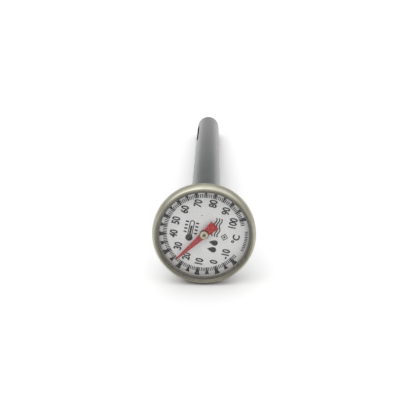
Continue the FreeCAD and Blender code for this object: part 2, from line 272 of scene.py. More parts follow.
# ---- Materials ----
class Shader:
    """A material in the making: its Principled BSDF and short ways to add nodes to it.

    A socket is named by its label with _ for each space, or by _ and its number.
    """

    def __init__(self, name, **sockets):
        self.material = bpy.data.materials.new(name)
        self.material.use_nodes = True
        self.tree = self.material.node_tree
        self.surface = self.tree.nodes["Principled BSDF"]
        self.set(self.surface, sockets)

    def set(self, node, sockets):
        for key, value in sockets.items():
            socket = node.inputs[int(key[1:]) if key[0] == "_" else key.replace("_", " ")]
            if isinstance(value, bpy.types.NodeSocket):
                self.tree.links.new(value, socket)
            else:
                socket.default_value = value

    def add(self, kind, settings=None, **sockets):
        node = self.tree.nodes.new("ShaderNode" + kind)
        for key, value in (settings or {}).items():
            setattr(node, key, value)
        self.set(node, sockets)
        return node

    def upright(self):
        """Place on the piece in upright millimetres, as a vector."""
        place = self.add("TexCoord").outputs["Object"]
        inverse = UPRIGHT.inverted()
        mapping = self.add("Mapping", Vector=place)
        mapping.inputs["Scale"].default_value = (1 / MM, 1 / MM, 1 / MM)
        mapping.inputs["Rotation"].default_value = (TILT, 0, 0)
        mapping.inputs["Location"].default_value = inverse.translation
        return mapping.outputs["Vector"]

    def coordinate(self, axis):
        """Place along one upright axis, in millimetres."""
        return self.add("SeparateXYZ", Vector=self.upright()).outputs[axis]

    def radius(self):
        """Distance from the stem's axis, in millimetres."""
        place = self.add("SeparateXYZ", Vector=self.upright())
        x, z = place.outputs["X"], place.outputs["Z"]
        return self.math("POWER", self.math("ADD", self.square(x), self.square(z)), 0.5)

    def lathe_rings(self):
        """Fine uneven rings about the stem's axis, as turning on a lathe leaves."""
        ring_scale, turn_scale = 9.0, 1.2
        place = self.add("SeparateXYZ", Vector=self.upright())
        x, along, z = (place.outputs[axis] for axis in "XYZ")
        vector = self.add(
            "CombineXYZ",
            X=self.math("MULTIPLY", self.radius(), ring_scale),
            Y=self.math("MULTIPLY", along, ring_scale),
            Z=self.math("MULTIPLY", self.math("ARCTAN2", z, x), turn_scale),
        )
        return self.noise(vector.outputs[0], 1.0, 4.0)

    def look(self, colour, roughness):
        self.set(self.surface, {"Base_Color": colour, "Roughness": roughness})

    def span(self, value, low, high, to_low=0.0, to_high=1.0):
        """Map low..high to 0..1, or to to_low..to_high, held at both ends."""
        node = self.add("MapRange", _0=value, _1=low, _2=high, _3=to_low, _4=to_high)
        return node.outputs[0]

    def math(self, operation, first, second=0.0):
        return self.add("Math", {"operation": operation}, _0=first, _1=second).outputs[0]

    def square(self, value):
        return self.math("MULTIPLY", value, value)

    def noise(self, vector, scale, detail=3.0, roughness=0.55):
        node = self.add("TexNoise", Vector=vector, Scale=scale, Detail=detail, Roughness=roughness)
        return node.outputs["Fac"]

    def ramp(self, factor, *stops):
        """Colour ramp through (place, colour or grey) stops."""
        node = self.add("ValToRGB", Fac=factor)
        elements = node.color_ramp.elements
        while len(elements) < len(stops):
            elements.new(0.5)
        for element, (place, colour) in zip(elements, stops):
            element.position = place
            if isinstance(colour, (int, float)):
                colour = (colour, colour, colour)
            element.color = (*colour, 1)
        return node.outputs["Color"]

    def blend(self, factor, first, second, mode="MIX"):
        settings = {"data_type": "RGBA", "blend_type": mode}
        return self.add("Mix", settings, _0=factor, _6=first, _7=second).outputs[2]

    def bump(self, height, distance):
        """Raise the surface by height, from 0 to 1, times a distance in millimetres."""
        node = self.add("Bump", Height=height, Distance=distance * MM, Strength=1.0)
        self.set(self.surface, {"Normal": node.outputs[0]})


def turned_metal(name, dark, light, stain, rough):
    """Metal with fine rings left by turning, soft stains and worn, uneven gloss."""
    shader = Shader(name, Metallic=1.0)
    rings = shader.lathe_rings()
    cloud = shader.noise(shader.upright(), 0.35, 4.0)
    colour = shader.ramp(rings, (0.3, dark), (0.7, light))
    stained = shader.math("MULTIPLY", shader.ramp(cloud, (0.45, 0.0), (0.75, 1.0)), 0.4)
    shader.look(
        shader.blend(stained, colour, (*stain, 1)),
        shader.ramp(rings, (0.25, rough - 0.06), (0.8, rough + 0.08)),
    )
    shader.bump(rings, 0.004)
    return shader.material


def bezel_metal():
    """Warm nickel plate in soft stains, with painted shade: dark brown in the lip's grooves and on
    the lower part of the crown and edge.
    """
    shaded_height = 4.0  # above the lowest point
    crown_start = 0.55  # out from the window
    shader = Shader("bezel_steel", Metallic=1.0, Specular_Tint=(0.9, 0.88, 0.8, 1))
    rings = shader.lathe_rings()
    cloud = shader.noise(shader.upright(), 0.32, 4.0)
    radius = shader.radius()
    plate = shader.ramp(rings, (0.3, (0.38, 0.375, 0.305)), (0.7, (0.50, 0.495, 0.41)))
    stain = shader.math("MULTIPLY", shader.ramp(cloud, (0.42, 0.0), (0.72, 1.0)), 0.45)
    plate = shader.blend(stain, plate, (0.30, 0.245, 0.19, 1))
    # Painted shade: the crown and edge turn dark brown towards the bottom, where the bezel nears
    # the floor.
    low = shader.span(shader.coordinate("Z"), shaded_height - BEZEL.outer, -BEZEL.outer)
    outer = shader.math("GREATER_THAN", radius, BEZEL.inner + crown_start)
    painted_shading = shader.math("MULTIPLY", shader.math("MULTIPLY", low, outer), 0.95)
    plate = shader.blend(painted_shading, plate, (0.20, 0.15, 0.125, 1))
    # Painted shade: dark brown rings in the lip's grooves.
    painted_shade = shader.ramp(
        shader.span(radius, BEZEL.inner, BEZEL.inner + LIP_WIDTH),
        (0.0, 0.15),
        (0.13, 0.1),
        (0.18, 0.8),
        (0.31, 0.8),
        (0.36, 0.05),
        (0.59, 0.05),
        (0.62, 0.6),
        (0.72, 0.6),
        (0.77, 0.0),
        (1.0, 0.0),
    )
    shader.look(
        shader.blend(painted_shade, plate, (0.045, 0.034, 0.024, 1)),
        shader.ramp(rings, (0.25, 0.28), (0.8, 0.42)),
    )
    shader.bump(rings, 0.004)
    return shader.material


def hub_brass():
    """Turned brass with a bright face, and painted shade, nearly black, round the bore and on the
    flank.
    """
    shader = Shader("hub_brass", Metallic=1.0)
    rings = shader.lathe_rings()
    face = shader.ramp(rings, (0.3, (0.44, 0.40, 0.27)), (0.7, (0.64, 0.59, 0.42)))
    place = shader.span(shader.radius(), 0.3, HUB.outer)
    # Painted shade: nearly black round the bore and on the flank.
    painted_shade = shader.ramp(place, (0.0, 0.9), (0.25, 0.1), (0.8, 0.0), (0.93, 0.9))
    shader.look(
        shader.blend(painted_shade, face, (0.05, 0.038, 0.022, 1)),
        shader.ramp(rings, (0.25, 0.26), (0.8, 0.4)),
    )
    shader.bump(rings, 0.006)
    return shader.material


def drawn_metal(name, dark, light, rough):
    """Metal with fine lines along the stem, as drawn wire and tube have."""
    shader = Shader(name, Metallic=1.0)
    stretched = shader.add("Mapping", Vector=shader.upright())
    stretched.inputs["Scale"].default_value = (9.0, 0.25, 9.0)
    lines = shader.noise(stretched.outputs[0], 1.0, 4.0)
    shader.look(
        shader.ramp(lines, (0.3, dark), (0.7, light)),
        shader.ramp(lines, (0.3, rough - 0.05), (0.7, rough + 0.08)),
    )
    shader.bump(lines, 0.003)
    return shader.material


def enamel():
    """Satin off-white paint of the dial, very faintly uneven, with painted shade darkening it
    towards its edge.
    """
    shader = Shader("dial_enamel", IOR=1.5)
    cloud = shader.noise(shader.upright(), 0.28, 3.0)
    grain = shader.noise(shader.upright(), 14.0, 2.0)
    tint = shader.ramp(cloud, (0.3, (0.69, 0.69, 0.685)), (0.7, (0.74, 0.74, 0.735)))
    speck = shader.ramp(grain, (0.25, 0.95), (0.6, 1.0))
    # Painted shade: darker from 10.2 mm out to the edge, as under the bezel's lip.
    rim = shader.span(shader.radius(), 10.2, DIAL.outer)
    painted_rim_shade = shader.ramp(rim, (0.0, 1.0), (0.5, (0.92, 0.91, 0.89)), (0.9, (0.75, 0.73, 0.69)))
    tint = shader.blend(1.0, tint, painted_rim_shade, "MULTIPLY")
    shader.look(
        shader.blend(1.0, tint, speck, "MULTIPLY"),
        shader.ramp(grain, (0.3, 0.38), (0.7, 0.5)),
    )
    shader.bump(grain, 0.002)
    return shader.material


def plastic(name, dark, light, rough):
    """Moulded plastic or rubber with a fine grain."""
    shader = Shader(name)
    cloud = shader.noise(shader.upright(), 0.22, 3.0)
    grain = shader.noise(shader.upright(), 5.0, 3.0)
    shader.look(
        shader.ramp(cloud, (0.3, dark), (0.7, light)),
        shader.ramp(grain, (0.3, rough - 0.05), (0.7, rough + 0.07)),
    )
    shader.bump(grain, 0.004)
    return shader.material


def clear_plastic():
    """Thin clear window, with the faintest haze and scuffs."""
    shader = Shader("lens_clear", IOR=1.5, Alpha=0.05)
    haze = shader.noise(shader.upright(), 0.5, 4.0)
    scuffs = shader.noise(shader.upright(), 6.0, 4.0, 0.7)
    shader.look(
        shader.ramp(haze, (0.3, 0.35), (0.8, 0.55)),
        shader.ramp(scuffs, (0.4, 0.04), (0.8, 0.14)),
    )
    return shader.material


def needle_paint():
    """Red paint, with painted light: deep red on the tail, paler and pinker on the thin arm."""
    tail_end, arm_end = -4.0, 9.5
    shader = Shader("needle_red", IOR=1.5, Specular_IOR_Level=0.3)
    turn = math.radians(ZERO_ANGLE - REST_CELSIUS * DEGREES_PER_CELSIUS)
    reach = shader.add(
        "VectorMath",
        {"operation": "DOT_PRODUCT"},
        _0=shader.upright(),
        _1=(math.cos(turn), 0, math.sin(turn)),
    ).outputs["Value"]
    # Painted light: the tail deep red, the arm paler and pinker.
    colour = shader.ramp(
        shader.span(reach, tail_end, arm_end),
        (0.0, (0.38, 0.008, 0.005)),
        (0.3, (0.36, 0.008, 0.006)),
        (0.42, (0.36, 0.022, 0.024)),
        (1.0, (0.39, 0.050, 0.055)),
    )
    grain = shader.noise(shader.upright(), 7.0, 3.0)
    uneven = shader.ramp(grain, (0.3, 0.86), (0.7, 1.0))
    shader.look(
        shader.blend(1.0, colour, uneven, "MULTIPLY"),
        shader.ramp(grain, (0.3, 0.3), (0.7, 0.42)),
    )
    shader.bump(grain, 0.003)
    return shader.material


def ink():
    """Black printing ink, a little thin in places."""
    shader = Shader("dial_ink", IOR=1.45)
    grain = shader.noise(shader.upright(), 5.0, 4.0, 0.7)
    shader.look(
        shader.ramp(grain, (0.3, 0.006), (0.62, 0.010), (0.8, 0.03)),
        shader.ramp(grain, (0.3, 0.45), (0.7, 0.6)),
    )
    return shader.material


def sheath_plastic():
    """Smooth grey plastic, with painted shade that makes it darker near the head and paler towards
    the tip, and near black inside the slot and the bore.
    """
    skin_depth = 0.06  # what lies deeper than this counts as inside
    shader = Shader("sheath_grey", IOR=1.3, Coat_Weight=0.38, Coat_Roughness=0.18)
    along = shader.coordinate("Y")
    surface_r = shader.span(
        along, TAPER_FROM, TAPER_TO, SHEATH_CLIP_R - skin_depth, SHEATH.outer - skin_depth
    )
    # Painted shade: what lies deeper than the skin, in the slot and the bore, is near black.
    outside = shader.math("GREATER_THAN", shader.radius(), surface_r)
    dome = shader.math("GREATER_THAN", along, SHEATH.back - SHEATH.outer)
    skin = shader.math("MAXIMUM", outside, dome)
    cloud = shader.noise(shader.upright(), 0.16, 4.0)
    grain = shader.noise(shader.upright(), 3.2, 3.0)
    # Painted shade: darker near the head, where the head's shadow falls, paler towards the tip.
    painted_shading = shader.span(along, 40.0, SHEATH.back)
    grey = shader.ramp(cloud, (0.3, (0.019, 0.025, 0.023)), (0.7, (0.031, 0.038, 0.035)))
    grey = shader.blend(painted_shading, grey, (0.085, 0.09, 0.085, 1))
    shader.look(
        shader.blend(skin, (0.010, 0.010, 0.010, 1), grey),
        shader.ramp(grain, (0.3, 0.30), (0.7, 0.38)),
    )
    shader.bump(grain, 0.004)
    return shader.material


# ---- Head ----
# The lip's rings and grooves, as (distance out from the window, along, fillet)
LIP_RINGS = [
    (0.0, 0.44, 0.06),
    (0.09, 0.36, 0.03),
    (0.11, 0.47, 0.02),
    (0.19, 0.47, 0.02),
    (0.21, 0.27, 0.04),
    (0.35, 0.22, 0.04),
    (0.37, 0.30, 0.02),
    (0.43, 0.30, 0.02),
    (0.45, 0.05, 0.05),
]


def bezel():
    """Pressed ring: stepped lip, rolled crown, straight edge and rolled-in back."""
    window, rim = BEZEL.inner, BEZEL.outer - 0.004  # just inside the CAD's facets
    rolled_in = CASE.outer - 0.17
    grip = SPACER.front + 0.42
    pocket = LENS.outer + 0.05
    crown, roll, set_back, steps = window + 0.52, 1.88, 0.03, 18
    outline = [(window, LENS_SEAT)]
    outline += [(window + out, along, fillet) for out, along, fillet in LIP_RINGS]
    for k in range(steps + 1):
        turn = math.pi / 2 * k / steps
        along = set_back + roll * (1 - math.cos(turn))
        outline.append((crown + (rim - crown) * math.sin(turn), along))
    outline += [
        (rim, BEZEL.back, 0.44),
        (rolled_in, BEZEL.back, 0.1),
        (rolled_in, grip),
        (pocket, grip),
        (pocket, LENS_SEAT),
    ]
    thing = new_object("bezel", lathe(rounded(outline), 256))
    return finish(thing, "head", bezel_metal(), ["bezel_ring"], 24)


def lens():
    """Clear disc, gently crowned towards the reader."""
    edge = LENS.back - LENS_THICK
    window = BEZEL.inner - SEAM
    rise = edge - LENS.front
    steps = 14
    outline = [(LENS.outer, LENS.back), (LENS.outer, edge)]
    arc = [i / steps for i in range(steps + 1)]
    outline += [(window * (1 - t), edge - rise * (1 - (1 - t) ** 2)) for t in arc]
    outline += [(window * t, LENS.back - rise * (1 - t**2)) for t in arc]
    thing = new_object("lens_window", lathe(outline, 128))
    return finish(thing, "head", clear_plastic(), ["lens"], 20)


def gasket():
    """Rubber ring under the lens, seen as the dark line inside the bezel's lip; its grey is
    darkened past the rubber's own to stand for the shade under the lip.
    """
    outline = rounded(
        [
            (GASKET.inner, GASKET.front, 0.15),
            (GASKET.outer, GASKET.front, 0.1),
            (GASKET.outer, GASKET.back, 0.1),
            (GASKET.inner, GASKET.back, 0.15),
        ]
    )
    # Painted shade: the rubber is darker than its own grey, for the shade under the lip.
    rubber = plastic("gasket_rubber", (0.11, 0.10, 0.08), (0.15, 0.137, 0.113), 0.55)
    thing = new_object("gasket", lathe(outline))
    return finish(thing, "head", rubber, ["lens_gasket"])


def spacer():
    """Pale ring between the gasket and the dial, seen as the dial's inner wall."""
    outline = rounded(
        [
            (SPACER.inner, SPACER.front, 0.05),
            (SPACER.outer, SPACER.front),
            (SPACER.outer, SPACER.back),
            (SPACER.inner, SPACER.back),
        ]
    )
    pale = plastic("spacer_plastic", (0.34, 0.33, 0.31), (0.40, 0.39, 0.37), 0.5)
    thing = new_object("dial_spacer", lathe(outline))
    return finish(thing, "head", pale, ["dial_spacer_ring"])


def dial():
    """Stamped plate with a hole for the shaft."""
    outline = rounded(
        [
            (DIAL.inner, DIAL.front, 0.05),
            (6.0, DIAL.front),
            (DIAL.outer, DIAL.front, 0.08),
            (DIAL.outer, DIAL.back),
            (DIAL.inner, DIAL.back),
        ]
    )
    thing = new_object("dial", lathe(outline))
    return finish(thing, "head", enamel(), ["dial_plate"])


def case():
    """Drawn steel cup behind the dial, with a flange in front and a pressed ring round its hole."""
    skin = 0.4
    floor = CASE.back - skin
    seat = DIAL.back + 0.03
    wall = SPACER.outer + SEAM
    outside = wall + skin - SEAM
    well = wall - 0.85
    flange_back = SPACER.front + skin
    ring_front = CASE.back - 0.15
    outline = rounded(
        [
            (CASE.inner, floor, 0.08),
            (well, floor, 0.7),
            (well, seat, 0.05),
            (wall, seat),
            (wall, SPACER.front),
            (CASE.outer, SPACER.front),
            (CASE.outer, flange_back),
            (outside, flange_back),
            (outside, seat + skin, 0.35),
            (well + skin, seat + skin, 0.25),
            (well + skin, CASE.back, 1.1),
            (4.6, CASE.back, 0.4),
            (4.2, ring_front, 0.3),
            (CASE.inner, ring_front, 0.08),
        ]
    )
    metal = turned_metal(
        "case_steel", (0.34, 0.34, 0.325), (0.47, 0.47, 0.455), (0.30, 0.29, 0.26), 0.28
    )
    thing = new_object("case", lathe(outline, 256))
    return finish(thing, "head", metal, ["case_cup"], 24)


# ---- Dial print: every mark is a list of flat polygons in (x, z) ----
def turn_point(point, degrees):
    angle = math.radians(degrees)
    x, z = point
    return (
        x * math.cos(angle) - z * math.sin(angle),
        x * math.sin(angle) + z * math.cos(angle),
    )


def celsius_angle(celsius):
    return ZERO_ANGLE - celsius * DEGREES_PER_CELSIUS


def spoke(degrees, stations):
    """Radial mark through (radius, half width) stations."""
    polygons = []
    for (low, low_half), (high, high_half) in zip(stations, stations[1:]):
        corners = [(low, -low_half), (high, -high_half), (high, high_half), (low, low_half)]
        polygons.append([turn_point(corner, degrees) for corner in corners])
    return polygons


def stroke(points, width, closed=False):
    """Line of even width through points, one quad to a run, mitred at the corners."""
    sharpest = 0.5  # a sharper corner's mitre grows no longer
    line = [Vector(point) for point in points]
    count = len(line)
    sides = []
    for i, here in enumerate(line):
        before = line[i - 1] if i or closed else None
        after = line[(i + 1) % count] if i < count - 1 or closed else None
        runs = [(here - before).normalized()] if before is not None else []
        runs += [(after - here).normalized()] if after is not None else []
        way = sum(runs, Vector((0, 0))).normalized()
        across = Vector((-way.y, way.x)) * width / 2 / max(sharpest, way.dot(runs[0]))
        sides.append((here + across, here - across))
    last = count if closed else count - 1
    pairs = [(sides[i], sides[(i + 1) % count]) for i in range(last)]
    return [[a[0], a[1], b[1], b[0]] for a, b in pairs]


def disc(centre, radius, count=28):
    turns = [2 * math.pi * k / count for k in range(count)]
    return [[(centre[0] + radius * math.cos(t), centre[1] + radius * math.sin(t)) for t in turns]]


def on_dial(polygons, radius, degrees, turn=READING_TURN):
    """Move a mark drawn about its own middle to a place on the dial, turned to read there."""
    x, z = turn_point((radius, 0), degrees)
    placed = []
    for polygon in polygons:
        corners = [turn_point(corner, turn) for corner in polygon]
        placed.append([(corner[0] + x, corner[1] + z) for corner in corners])
    return placed


def printed(name, polygons):
    """Thin raised ink in the shape of the polygons."""
    form = bmesh.new()
    top, low = DIAL.front - INK, DIAL.front + INK / 4
    for polygon in polygons:
        near = [form.verts.new((x, top, z)) for x, z in polygon]
        far = [form.verts.new((x, low, z)) for x, z in polygon]
        form.faces.new(near)
        form.faces.new(far[::-1])
        for i in range(len(near)):
            k = (i + 1) % len(near)
            form.faces.new([near[i], far[i], far[k], near[k]])
    return new_object(name, form)


def scale_ticks():
    """A mark for each degree, longer and flared on the fives, a wedge on the tens."""
    polygons = []
    for celsius in range(SCALE_LOW, SCALE_HIGH + 1):
        angle = celsius_angle(celsius)
        if celsius % 10 == 0:
            stations = TEN_MARK
        elif celsius % 5 == 0:
            stations = FIVE_MARK
        else:
            stations = ONE_MARK
        polygons += spoke(angle, stations)
    return printed("scale_ticks", polygons)


def glyphs(text, height, squeeze):
    """bmesh of plain numerals, this high, narrowed by squeeze, centred on the origin."""
    curve = bpy.data.curves.new("glyphs", "FONT")
    curve.body = text
    curve.offset = NUMERAL_WEIGHT
    curve.extrude = 0.01
    curve.resolution_u = 6
    thing = bpy.data.objects.new("glyphs", curve)
    bpy.context.scene.collection.objects.link(thing)
    bpy.context.view_layer.update()
    mesh = bpy.data.meshes.new_from_object(thing)
    bpy.data.objects.remove(thing)
    form = bmesh.new()
    form.from_mesh(mesh)
    low = [min(v.co[k] for v in form.verts) for k in range(3)]
    high = [max(v.co[k] for v in form.verts) for k in range(3)]
    scale = height / (high[1] - low[1])
    middle = Vector((low[i] + high[i]) / 2 for i in range(3))
    size = Vector((scale * squeeze, scale, INK / (high[2] - low[2])))
    for vertex in form.verts:
        vertex.co = (vertex.co - middle) * size
    return form


def lettered(name, entries):
    """Ink of several texts, each (text, height, squeeze, radius, degrees)."""
    together = bmesh.new()
    for text, height, squeeze, radius, degrees in entries:
        form = glyphs(text, height, squeeze)
        x, z = turn_point((radius, 0), degrees)
        face_reader = Matrix.Rotation(math.radians(90), 4, "X")
        turned = Matrix.Rotation(math.radians(-READING_TURN), 4, "Y")
        place = Matrix.Translation((x, DIAL.front - INK / 3, z))
        bmesh.ops.transform(form, matrix=place @ turned @ face_reader, verts=form.verts)
        mesh = bpy.data.meshes.new("part")
        form.to_mesh(mesh)
        form.free()
        together.from_mesh(mesh)
        bpy.data.meshes.remove(mesh)
    return new_object(name, together)


def scale_numerals():
    """A numeral for each ten, and the unit."""
    entries = []
    for celsius in range(-10, 101, 10):
        radius = NUMERAL_RADIUS + NUMERAL_SHIFT.get(celsius, 0.0)
        angle = celsius_angle(celsius)
        entries.append((str(celsius), NUMERAL_HEIGHT, NUMERAL_SQUEEZE, radius, angle))
    entries.append(("\N{DEGREE SIGN}C", 2.0, 0.92, 8.3, -11.4))
    return lettered("scale_numerals", entries)


def wave(length, swing, level):
    """Points of a line that waves twice along its length."""
    count = 24
    return [
        (length * (k / count - 0.5), level + swing * math.sin(4 * math.pi * k / count))
        for k in range(count + 1)
    ]


def drop(width, height, count=36):
    """Filled water drop with its point up."""
    turns = [2 * math.pi * k / count for k in range(count)]
    return [
        (width * 0.65 * math.sin(t) * math.sin(t / 2) ** 1.3, height / 2 * math.cos(t))
        for t in turns
    ]


def shifted(polygons, x, z):
    return [[(corner[0] + x, corner[1] + z) for corner in polygon] for polygon in polygons]


def thermometer_sign():
    """Thermometer lying on its side, with a row of short bars above and below it."""
    foot, top, half = -1.3, 2.75, 0.52
    tube = rounded([(foot, half), (top, half, 0.5), (top, -half, 0.5), (foot, -half)])
    bulb, liquid = disc((-1.95, 0), 0.95), stroke([(-1.5, 0), (1.4, 0)], 0.5)
    sign = stroke(tube, 0.27) + bulb + liquid
    bar_height, bar_width = 0.8, 0.42
    for k in range(4):
        across = -0.55 + k * 0.95
        for low in (0.95, -1.75):
            sign += stroke([(across, low), (across, low + bar_height)], bar_width)
    return sign


def dial_marks():
    """Plain signs for the kind of instrument: a thermometer, waves, a diamond, drops, dashes."""
    polygons = on_dial(thermometer_sign(), *SIGN_PLACES["thermometer"])
    waves = []
    for level in (-0.68, 0.0, 0.68):
        waves += stroke(wave(5.2, 0.22, level), 0.3)
    polygons += on_dial(waves, *SIGN_PLACES["waves"])
    half = 0.85
    diamond = stroke([(half, 0), (0, half), (-half, 0), (0, -half)], 0.2, closed=True)
    polygons += on_dial(diamond + disc((0, 0), 0.3), *SIGN_PLACES["diamond"])
    apart = 0.98
    drops = shifted([drop(1.6, 2.4)], -apart, 0) + shifted([drop(1.6, 2.4)], apart, 0)
    polygons += on_dial(drops, *SIGN_PLACES["drops"])
    first, step, radius = -26, 2.5, 10.95
    for k in range(12):
        angle = first + k * step
        reach = (0.42, 0.3, 0.42, 0.36)[k % 4]
        dash = stroke([(-reach, 0), (reach, 0)], 0.26)
        polygons += on_dial(dash, radius, angle, angle)
    return printed("dial_marks", polygons)


def dial_dimple():
    """Tiny punched dimple, seen as a grey dot."""
    proud, sunk = -0.02, 0.01
    form = lathe(rounded([(0, proud), (0.17, proud, 0.01), (0.2, sunk), (0, sunk)]), 24)
    bmesh.ops.translate(form, verts=form.verts, vec=(-0.55, DIAL.front, 4.9))
    return new_object("dial_dimple", form)


def dial_print():
    black = ink()
    for thing in (scale_ticks(), scale_numerals(), dial_marks()):
        finish(thing, "head", black)
    grey = plastic("dimple_grey", (0.2, 0.2, 0.21), (0.28, 0.28, 0.29), 0.4)
    finish(dial_dimple(), "head", grey)


# ---- Pointer ----
def needle():
    """Stamped blade with a straight-ended tail."""
    side = [
        (NEEDLE.outer + 0.3, 0.22, 0.15),
        (1.15, 0.85, 1.0),
        (-1.15, 1.05, 1.0),
        (-3.9, 1.35, 0.12),
    ]
    outline = rounded(side + [(x, -z, fillet) for x, z, fillet in side[::-1]])
    turned = [turn_point(point, celsius_angle(REST_CELSIUS)) for point in outline]
    thing = new_object("needle", prism(turned, NEEDLE.front, NEEDLE.back))
    soften(thing, 0.035)
    return finish(thing, "pointer", needle_paint(), ["pointer_needle"])


def hub():
    """Turned brass bush with a dished face, bored for the shaft."""
    face, rim, back = HUB.front, HUB.outer, NEEDLE.front - SEAM
    bore, barrel, dish = SHAFT.outer + SEAM, 0.69, 0.14
    outline = rounded(
        [
            (bore, face + dish, 0.04),
            (rim - 0.36, face + 0.11, 0.1),
            (rim - 0.16, face + 0.01, 0.06),
            (rim, face + dish, 0.08),
            (rim, back, 0.03),
            (barrel, back),
            (barrel, HUB.back, 0.1),
            (bore, HUB.back),
        ]
    )
    thing = new_object("hub", lathe(outline, 96))
    return finish(thing, "pointer", hub_brass(), ["pointer_hub"], 24)


def shaft():
    """Thin rod from the helix to the pointer, its end sunk in the hub's bore."""
    end = SHAFT.front + 0.3
    outline = rounded(
        [
            (0, end),
            (SHAFT.outer, end, 0.06),
            (SHAFT.outer, SHAFT.back, 0.06),
            (0, SHAFT.back),
        ]
    )
    metal = drawn_metal("shaft_steel", (0.10, 0.095, 0.09), (0.16, 0.155, 0.15), 0.4)
    thing = new_object("shaft", lathe(outline, 48))
    return finish(thing, "pointer", metal, ["pointer_shaft"])


# ---- Stem ----
def stem():
    """Thin probe tube with its welded, rounded point; returns its steel."""
    steel = drawn_metal("stem_steel", (0.40, 0.40, 0.40), (0.54, 0.54, 0.535), 0.22)
    tube = rounded(
        [
            (TUBE.inner, TUBE.front, 0.05),
            (TUBE.outer, TUBE.front, 0.05),
            (TUBE.outer, TUBE.back),
            (TUBE.inner, TUBE.back),
        ]
    )
    thing = new_object("probe_tube", lathe(tube, 96))
    finish(thing, "stem", steel, ["stem_tube"])
    shoulder, spigot = TUBE.back + SEAM, TUBE.inner - SEAM
    point = rounded(
        [
            (0, PLUG.front),
            (spigot, PLUG.front, 0.1),
            (spigot, shoulder),
            (TUBE.outer, shoulder, 0.08),
            (TUBE.outer, shoulder + 0.5, 1.0),
            (TUBE.outer * 0.62, PLUG.back, 0.9),
            (0, PLUG.back),
        ]
    )
    thing = new_object("probe_point", lathe(point, 96))
    finish(thing, "stem", steel, ["stem_tip_plug"])
    return steel


def nut():
    """Hexagon with chamfered corners, counterbored for the collar's barrel."""
    chamfer = 0.35
    bore = TUBE.outer + SEAM
    barrel = CASE.inner - 0.03
    shoulder = COLLAR.back + SEAM
    outline = [
        (barrel, NUT.front),
        (NUT_FLAT, NUT.front),
        (NUT.outer, NUT.front + chamfer),
        (NUT.outer, NUT.back - chamfer),
        (NUT_FLAT, NUT.back),
        (bore, NUT.back),
        (bore, shoulder),
        (barrel, shoulder),
    ]
    thing = new_object("hex_nut", lathe(outline, 120))
    combine(thing, hexagon(NUT_FLAT, NUT.front - 1, NUT.back + 1), "INTERSECT")
    metal = turned_metal(
        "nut_steel", (0.36, 0.36, 0.35), (0.50, 0.50, 0.485), (0.30, 0.29, 0.26), 0.25
    )
    return finish(thing, "stem", metal, ["calibration_nut"])


def hexagon(flat, low, high):
    """bmesh of a hexagonal prism on the stem's axis, with this distance to its flats."""
    turns = [math.radians(30 + 60 * k) for k in range(6)]
    reach = flat / math.cos(math.radians(30))
    return prism([(reach * math.cos(t), reach * math.sin(t)) for t in turns], low, high)


def bimetal_helix():
    """Two-metal strip wound in a helix; it twists as the pointer turns."""
    turns, radius, wide, thick = 10, 1.1, 1.4, 0.2
    start, end = COLLET.back + 0.05 + wide / 2, ANCHOR.front - SEAM - wide / 2
    count = turns * 32
    section = ((-0.5, -0.5), (0.5, -0.5), (0.5, 0.5), (-0.5, 0.5))
    form = bmesh.new()
    rings = []
    for k in range(count + 1):
        t = k / count
        angle = 2 * math.pi * turns * t
        along = start + (end - start) * t
        ring = []
        for out, over in section:
            r, y = radius + out * thick, along + over * wide
            ring.append(form.verts.new((r * math.cos(angle), y, r * math.sin(angle))))
        rings.append(ring)
    skin_bar(form, rings)
    metal = drawn_metal("bimetal", (0.42, 0.36, 0.27), (0.60, 0.55, 0.46), 0.3)
    thing = new_object("bimetal_helix", form)
    finish(thing, None, metal, ["bimetal_coil"])
    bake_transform(thing)
    return thing


# ---- Sheath and clip ----
def slot_cutter(wide, start, end, degrees):
    """Round-ended bar that goes from the axis out through the sheath's wall."""
    half = wide / 2
    outline = rounded(
        [(-half, start, half), (half, start, half), (half, end, half), (-half, end, half)],
        step=math.radians(6),
    )
    form = extruded([(x, y, 0) for x, y in outline], (0, 0, SHEATH.outer + 1))
    turn = Matrix.Rotation(math.radians(90 - degrees), 3, "Y")
    bmesh.ops.rotate(form, verts=form.verts, matrix=turn)
    return form


def sheath():
    """Closed tube with a domed end, a hexagonal mouth and one slot through its wall."""
    tip, wall = SHEATH.back - 0.015, SHEATH.outer - 0.005  # just inside the CAD's facets
    bore, bore_end = 3.0, PLUG.back + 1.2
    easy = 900.0  # radius that eases the widening in and out
    outline = rounded(
        [
            (bore, SHEATH.front, 0.1),
            (SHEATH_CLIP_R, SHEATH.front, 0.25),
            (SHEATH_CLIP_R, TAPER_FROM, easy),
            (wall, TAPER_TO, easy),
            (wall, tip, wall - 0.01),
            (0, tip),
            (0, bore_end),
            (bore, bore_end, bore - 0.1),
        ],
        step=math.radians(5),
    )
    thing = new_object("sheath", lathe(outline, 192))
    slot = slot_cutter(wide=2.4, start=97.0, end=121.0, degrees=161)
    combine(thing, slot, "DIFFERENCE")
    socket = hexagon(NUT_FLAT + 0.05, SHEATH.front - 1, NUT.back + 0.5)
    combine(thing, socket, "DIFFERENCE")
    return finish(thing, "sheath", sheath_plastic(), ["sheath_tube"])


def ribbon(line, half_width, thickness):
    """bmesh of a flat strip whose middle follows (along, z) points; half_width is by run."""
    points = [Vector(point) for point in line]
    run, rings = 0.0, []
    form = bmesh.new()
    for i, here in enumerate(points):
        if i:
            run += (here - points[i - 1]).length
        before = (here - points[i - 1]).normalized() if i else None
        after = (points[i + 1] - here).normalized() if i + 1 < len(points) else None
        ways = [way for way in (before, after) if way is not None]
        way = sum(ways, Vector((0, 0))).normalized()
        up = Vector((-way.y, way.x)) * thickness / 2
        half = half_width(run)
        corners = [(-half, -1), (half, -1), (half, 1), (-half, 1)]
        rings.append(
            [form.verts.new((x, here.x + k * up.x, here.y + k * up.y)) for x, k in corners]
        )
    skin_bar(form, rings)
    return form


